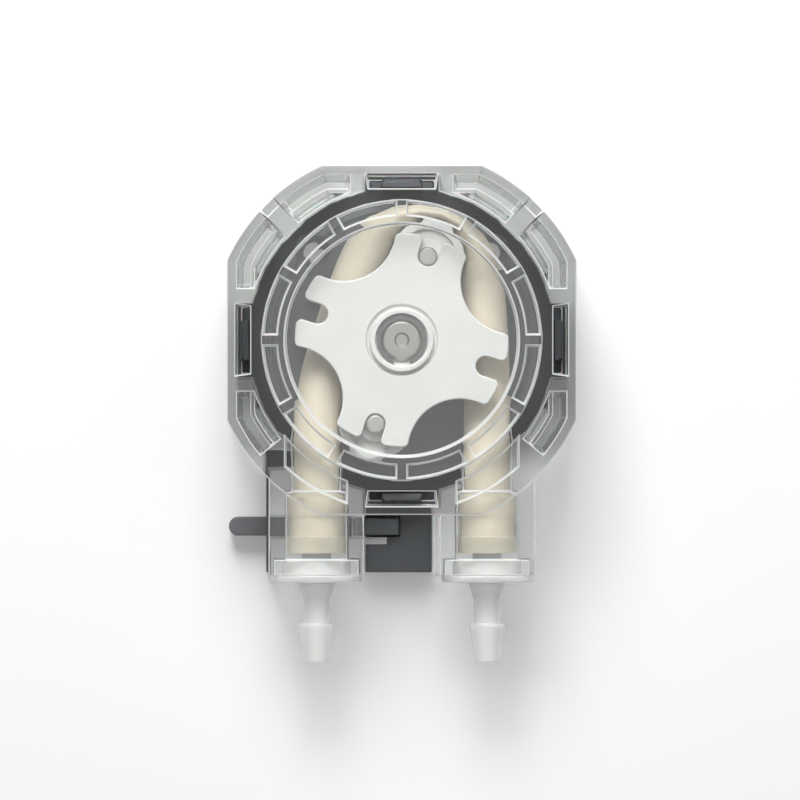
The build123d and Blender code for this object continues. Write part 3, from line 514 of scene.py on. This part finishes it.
def softened_copy(
    name: str,
    node: str,
    edge_mm: float,
    segments: int = 2,
    sharpest: float = 24.0,
    join_flats: bool = True,
    broad_radius: float = 0.0,
) -> bpy.types.Object:
    """Copies a solid's mesh, joins its flat faces and rounds its edges.

    The rounded edges use the piece's second material slot, if it gets one.

    Args:
        name: The new piece's name.
        node: The solid that is copied.
        edge_mm: The radius of the rounded edges.
        segments: The number of faces round an edge.
        sharpest: Edges that turn by more degrees than this are rounded.
        join_flats: Whether the triangles of a flat face become one face first.
        broad_radius: A circle about the Y axis, in metres, whose edges get twice the rounding.

    Returns:
        The new piece.
    """
    shell = bmesh.new()
    shell.from_mesh(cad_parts[node].data)
    for face in shell.faces:
        face.material_index = 0
    bmesh.ops.remove_doubles(shell, verts=shell.verts, dist=MERGE_DISTANCE)
    if join_flats:
        bmesh.ops.dissolve_limit(
            shell,
            angle_limit=radians(FLAT_DEGREES),
            use_dissolve_boundaries=False,
            verts=shell.verts,
            edges=shell.edges,
        )
    inner = [edge for edge in shell.edges if len(edge.link_faces) == 2]
    edges = [edge for edge in inner if edge.calc_face_angle(0) > radians(sharpest)]
    broad = [edge for edge in edges if all(on_circle(vert.co, broad_radius) for vert in edge.verts)]
    broad_set = set(broad)
    narrow = [edge for edge in edges if edge not in broad_set]
    for group, size_mm in ((broad, 2 * edge_mm), (narrow, edge_mm)):
        rounded = bmesh.ops.bevel(
            shell,
            geom=[edge for edge in group if edge.is_valid],
            offset=size_mm * MM,
            offset_type="OFFSET",
            segments=segments,
            profile=0.5,
            affect="EDGES",
            clamp_overlap=False,
            material=-1,
        )
        for face in rounded["faces"]:
            face.material_index = 1
    return placed(name, shell)


def on_circle(place: Vector, radius: float) -> bool:
    """Says whether a point lies on a circle about the Y axis that faces the front."""
    off_circle = abs(Vector((place.x, place.z)).length - radius)
    return place.y < FRONT_Y and off_circle < CIRCLE_TOLERANCE


def placed(name: str, shell: bmesh.types.BMesh, smooth_angle: float = 32.0) -> bpy.types.Object:
    """Turns a bmesh into a smooth-shaded piece at the origin.

    Args:
        name: The piece's name.
        shell: The mesh under construction, which is freed.
        smooth_angle: Edges that turn by more degrees than this stay sharp.

    Returns:
        The new piece.
    """
    mesh = bpy.data.meshes.new(name)
    shell.to_mesh(mesh)
    shell.free()
    mesh.shade_smooth()
    mesh.set_sharp_from_angle(angle=radians(smooth_angle))
    piece = bpy.data.objects.new(name, mesh)
    bpy.context.collection.objects.link(piece)
    flat = piece.modifiers.new("flat_faces", "WEIGHTED_NORMAL")
    flat.mode = "FACE_AREA"
    flat.keep_sharp = True
    return piece


def dress(
    piece: bpy.types.Object, material: bpy.types.Material, edges: bpy.types.Material | None = None
) -> None:
    """Gives a piece its finish, and its rounded edges another if there is one.

    Args:
        piece: The piece to dress.
        material: The finish of the whole piece.
        edges: The finish of the rounded edges.
    """
    slots = piece.data.materials
    if not slots:
        slots.append(material)
    for index in range(len(slots)):
        slots[index] = material
    if edges is not None:
        slots.append(edges)


def stand_in(
    piece: bpy.types.Object,
    node: str,
    body: Body,
    material: bpy.types.Material,
    edges: bpy.types.Material | None = None,
) -> None:
    """Dresses a new piece and puts it in place of a solid, on the same body.

    Args:
        piece: The new piece.
        node: The solid that it stands for.
        body: The body that it rides on.
        material: Its finish.
        edges: The finish of its rounded edges.
    """
    dress(piece, material, edges)
    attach(piece, body.value)
    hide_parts(node)
    LOG.info("%s stands for %s on %s", piece.name, node, body.value)


def dress_solid(node: str, material: bpy.types.Material) -> None:
    """Gives a finish to a solid that shows as it is."""
    dress(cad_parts[node], material)
    LOG.info("%s keeps its solid", node)


# --------------------------------------------------------------- sub-assemblies


@dataclass
class Cover:
    """The clear cover with its race, pockets and tube blocks."""

    edge_mm: float = 0.2

    def build(self) -> None:
        """Makes the cover with softly rounded edges."""
        shell = softened_copy(
            "front_cover_shell",
            "front_cover",
            self.edge_mm,
            join_flats=False,
            broad_radius=WINDOW_STEP_RADIUS,
        )
        stand_in(shell, "front_cover", Body.ROOT, CLEAR_COVER.build(), COVER_EDGE_HIGHLIGHT.build())


@dataclass
class Base:
    """The dark plate with its index mark and the latch's cover."""

    edge_mm: float = 0.2

    def build(self) -> None:
        """Makes the plate and dresses what is fixed to it."""
        dark = DARK_PLATE.build()
        plate = softened_copy("base_plate_shell", "base_plate", self.edge_mm)
        stand_in(plate, "base_plate", Body.ROOT, dark)
        lid = softened_copy("latch_cover_shell", "latch_cover", self.edge_mm / 2)
        stand_in(lid, "latch_cover", Body.ROOT, dark)
        dress_solid("index_mark", WHITE_INK.build())
        dress_solid("latch_cover_screws", SCREW_STEEL.build())


@dataclass
class Latch:
    """The thumb lever and its spring."""

    edge_mm: float = 0.35
    travel_mm: float = 2.6
    wire_mm: float = 0.2
    turns: int = 5
    steps_per_turn: int = 28
    wire_sides: int = 10

    def build(self) -> None:
        """Makes the lever with its rounded thumb end."""
        lever = softened_copy("latch_slide_shell", "latch_slide", self.edge_mm, segments=3)
        stand_in(lever, "latch_slide", Body.LATCH, LEVER.build())
        spring = self.coil()
        stand_in(spring, "latch_spring", Body.ROOT, SPRING_STEEL.build())
        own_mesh(spring)

    def coil(self) -> bpy.types.Object:
        """Winds the spring inside the solid's box.

        Returns:
            The coil, closed at both ends of its wire.
        """
        low, high = (Vector(corner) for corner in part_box("latch_spring"))
        wire = self.wire_mm * MM
        radius = (high.z - low.z) / 2 - wire
        centre = (low + high) / 2
        start = Vector((low.x + wire, centre.y, centre.z))
        steps = self.turns * self.steps_per_turn
        pitch_step = (high.x - low.x - 2 * wire) / steps
        wound = bmesh.new()
        across = Matrix.Translation(start + Vector((0, 0, radius))) @ Matrix.Rotation(pi / 2, 4, "X")
        rim = bmesh.ops.create_circle(
            wound, cap_ends=False, radius=wire, segments=self.wire_sides, matrix=across
        )
        bmesh.ops.spin(
            wound,
            geom=rim["verts"] + list(wound.edges),
            cent=start,
            axis=(1, 0, 0),
            dvec=(pitch_step, 0, 0),
            angle=2 * pi * self.turns,
            steps=steps,
            use_merge=False,
        )
        bmesh.ops.holes_fill(wound, edges=[edge for edge in wound.edges if edge.is_boundary], sides=0)
        bmesh.ops.recalc_face_normals(wound, faces=wound.faces)
        return placed("latch_spring_coil", wound, smooth_angle=50.0)


@dataclass
class Bearing:
    """The ball bearing in the plate."""

    edge_mm: float = 0.12

    def build(self) -> None:
        """Makes the rings and dresses the balls and the cage."""
        steel = BEARING_STEEL.build()
        outer = softened_copy("bearing_outer_shell", "bearing_outer_ring", self.edge_mm)
        stand_in(outer, "bearing_outer_ring", Body.ROOT, steel)
        inner = softened_copy("bearing_inner_shell", "bearing_inner_ring", self.edge_mm)
        stand_in(inner, "bearing_inner_ring", Body.ROTOR, steel)
        dress_solid("bearing_balls", steel)
        dress_solid("bearing_cage", CAGE_NYLON.build())


@dataclass
class Rotor:
    """The two slotted plates, the shaft and the roller pins."""

    plate_edge_mm: float = 0.28
    metal_edge_mm: float = 0.1

    def build(self) -> None:
        """Makes the plates and the metal pieces that turn with them."""
        white = ROTOR_WHITE.build()
        for node in ("rotor_front_plate", "rotor_rear_plate"):
            plate = softened_copy(f"{node}_shell", node, self.plate_edge_mm, segments=3)
            stand_in(plate, node, Body.ROTOR, white)
        shaft = softened_copy("drive_shaft_shell", "drive_shaft", self.metal_edge_mm)
        stand_in(shaft, "drive_shaft", Body.ROTOR, SHAFT_STEEL.build())
        pin_steel = PIN_STEEL.build()
        for letter in "ab":
            pin = softened_copy(f"roller_pin_{letter}_shell", f"roller_pin_{letter}", self.metal_edge_mm)
            stand_in(pin, f"roller_pin_{letter}", Body.ROTOR, pin_steel)
        dress_solid("retaining_ring", BLACK_STEEL.build())
        dress_solid("roller_washers", WASHER_WHITE.build())


@dataclass
class Rollers:
    """The two rollers and their bushes."""

    edge_mm: float = 0.1

    def build(self) -> None:
        """Makes both rollers on their own spinning bodies."""
        white = ROLLER_WHITE.build()
        bronze = BRONZE.build()
        for letter, body in (("a", Body.ROLLER_A), ("b", Body.ROLLER_B)):
            roller = softened_copy(f"roller_{letter}_shell", f"roller_{letter}", self.edge_mm)
            stand_in(roller, f"roller_{letter}", body, white)
            bush = softened_copy(f"roller_bush_{letter}_shell", f"roller_bush_{letter}", self.edge_mm)
            stand_in(bush, f"roller_bush_{letter}", body, bronze)


@dataclass
class Connectors:
    """The two double-barbed hose connectors, their clamp rings and the channel keepers."""

    edge_mm: float = 0.15

    def build(self) -> None:
        """Makes every natural plastic piece."""
        natural = CONNECTOR.build()
        keepers = softened_copy("tube_keepers_shell", "tube_keepers", self.edge_mm)
        stand_in(keepers, "tube_keepers", Body.ROOT, natural)
        rings = softened_copy("tube_end_rings_shell", "tube_end_rings", self.edge_mm)
        stand_in(rings, "tube_end_rings", Body.ROOT, RING_CREAM.build())
        for side in ("inlet", "outlet"):
            piece = softened_copy(f"{side}_connector_shell", f"{side}_connector", self.edge_mm)
            stand_in(piece, f"{side}_connector", Body.ROOT, natural)


@dataclass
class Tube:
    """The pump tube."""

    edge_mm: float = 0.12
    sharpest: float = 50.0

    def build(self) -> None:
        """Makes the tube with its rounded ends, squeezed as the solid is."""
        tube = softened_copy("pump_tube_skin", "pump_tube", self.edge_mm, sharpest=self.sharpest)
        stand_in(tube, "pump_tube", Body.ROOT, TUBE_CREAM.build())


# ------------------------------------------------------------------------ stage


@dataclass
class Studio:
    """White table, soft lamps and the camera above it."""

    view_distance: float = 2.0
    view_width: float = 0.1371
    front_depth: float = 0.030
    aim_x: float = -0.0003
    aim_z: float = -0.0103
    sensor_mm: float = 36.0
    table_gap: float = 0.0002
    table_reach: float = 2.0
    table_glow: float = 0.2
    world_level: float = 0.2
    lamps: list[tuple[str, tuple[float, float, float], float, float]] = field(
        default_factory=lambda: [
            ("key", (-0.06, -0.52, 0.48), 0.32, 4.6),
            ("fill", (0.45, -0.6, 0.0), 0.4, 0.3),
        ]
    )

    def build(self) -> None:
        """Makes the camera, the lamps, the world and the table."""
        self.add_camera()
        self.add_lamps()
        self.add_world()
        self.add_table()
        bpy.context.scene.view_settings.view_transform = "Standard"

    def add_camera(self) -> None:
        """Places the level camera in front of the window."""
        data = bpy.data.cameras.new("camera")
        data.sensor_width = self.sensor_mm
        data.lens = self.sensor_mm * self.view_distance / self.view_width
        data.clip_start = 0.01
        camera = bpy.data.objects.new("camera", data)
        camera.location = (self.aim_x, -self.front_depth - self.view_distance, self.aim_z)
        camera.rotation_euler = (pi / 2, 0, 0)
        bpy.context.collection.objects.link(camera)
        bpy.context.scene.camera = camera

    def add_lamps(self) -> None:
        """Hangs the soft square lamps, each facing the head."""
        for name, place, size, power in self.lamps:
            data = bpy.data.lights.new(name, "AREA")
            data.shape = "SQUARE"
            data.size = size
            data.energy = power
            lamp = bpy.data.objects.new(name, data)
            lamp.visible_transmission = False
            lamp.location = place
            aim = Vector((0, 0, self.aim_z)) - Vector(place)
            lamp.rotation_euler = aim.to_track_quat("-Z", "Y").to_euler()
            bpy.context.collection.objects.link(lamp)

    def add_world(self) -> None:
        """Lights the scene evenly and shows white to camera, glossy and transmission rays.

        A ray that has met a diffuse surface gets the even light instead, or none where it came
        through a clear piece, which would otherwise light what lies under it twice.
        """
        world = bpy.data.worlds.new("studio")
        world.use_nodes = True
        nodes, links = world.node_tree.nodes, world.node_tree.links
        light = nodes["Background"]
        light.inputs["Color"].default_value = WHITE
        plain = nodes.new("ShaderNodeMath")
        plain.operation = "SUBTRACT"
        plain.inputs[0].default_value = 1.0
        level = nodes.new("ShaderNodeMath")
        level.operation = "MULTIPLY"
        level.inputs[1].default_value = self.world_level
        links.new(plain.outputs[0], level.inputs[0])
        links.new(level.outputs[0], light.inputs["Strength"])
        white = nodes.new("ShaderNodeBackground")
        white.inputs["Color"].default_value = WHITE
        path = nodes.new("ShaderNodeLightPath")
        seen = path.outputs["Is Camera Ray"]
        links.new(path.outputs["Is Transmission Ray"], plain.inputs[1])
        for kind in ("Is Glossy Ray", "Is Transmission Ray"):
            either = nodes.new("ShaderNodeMath")
            either.operation = "MAXIMUM"
            links.new(seen, either.inputs[0])
            links.new(path.outputs[kind], either.inputs[1])
            seen = either.outputs[0]
        direct = nodes.new("ShaderNodeMath")
        direct.operation = "LESS_THAN"
        direct.inputs[1].default_value = 0.5
        links.new(path.outputs["Diffuse Depth"], direct.inputs[0])
        both = nodes.new("ShaderNodeMath")
        both.operation = "MULTIPLY"
        links.new(seen, both.inputs[0])
        links.new(direct.outputs[0], both.inputs[1])
        seen = both.outputs[0]
        mix = nodes.new("ShaderNodeMixShader")
        links.new(seen, mix.inputs[0])
        links.new(light.outputs["Background"], mix.inputs[1])
        links.new(white.outputs["Background"], mix.inputs[2])
        links.new(mix.outputs["Shader"], nodes["World Output"].inputs["Surface"])
        bpy.context.scene.world = world

    def add_table(self) -> None:
        """Makes the white table that the head lies on, facing the camera."""
        table = bmesh.new()
        facing = Matrix.Translation((0, self.table_gap, 0)) @ Matrix.Rotation(pi / 2, 4, "X")
        bmesh.ops.create_grid(table, x_segments=1, y_segments=1, size=self.table_reach, matrix=facing)
        floor = placed("white_table", table)
        dress(floor, self.table_material())

    def table_material(self) -> bpy.types.Material:
        """Returns white paper that is clear from behind and still holds shadows."""
        material = bpy.data.materials.new("white_paper")
        material.use_nodes = True
        nodes, links = material.node_tree.nodes, material.node_tree.links
        paper = nodes["Principled BSDF"]
        paper.inputs["Base Color"].default_value = (0.96, 0.96, 0.96, 1)
        paper.inputs["Roughness"].default_value = 1.0
        paper.inputs["Specular IOR Level"].default_value = 0.0
        paper.inputs["Emission Color"].default_value = WHITE
        paper.inputs["Emission Strength"].default_value = self.table_glow
        clear = nodes.new("ShaderNodeBsdfTransparent")
        side = nodes.new("ShaderNodeNewGeometry")
        mix = nodes.new("ShaderNodeMixShader")
        links.new(side.outputs["Backfacing"], mix.inputs[0])
        links.new(paper.outputs["BSDF"], mix.inputs[1])
        links.new(clear.outputs["BSDF"], mix.inputs[2])
        links.new(mix.outputs["Shader"], nodes["Material Output"].inputs["Surface"])
        return material


def main() -> None:
    """Builds the whole pump head and its studio."""
    logging.basicConfig(level=logging.INFO)
    Studio().build()
    for assembly in (Cover(), Base(), Latch(), Bearing(), Rotor(), Rollers(), Connectors(), Tube()):
        assembly.build()


if __name__ == "__main__":
    main()
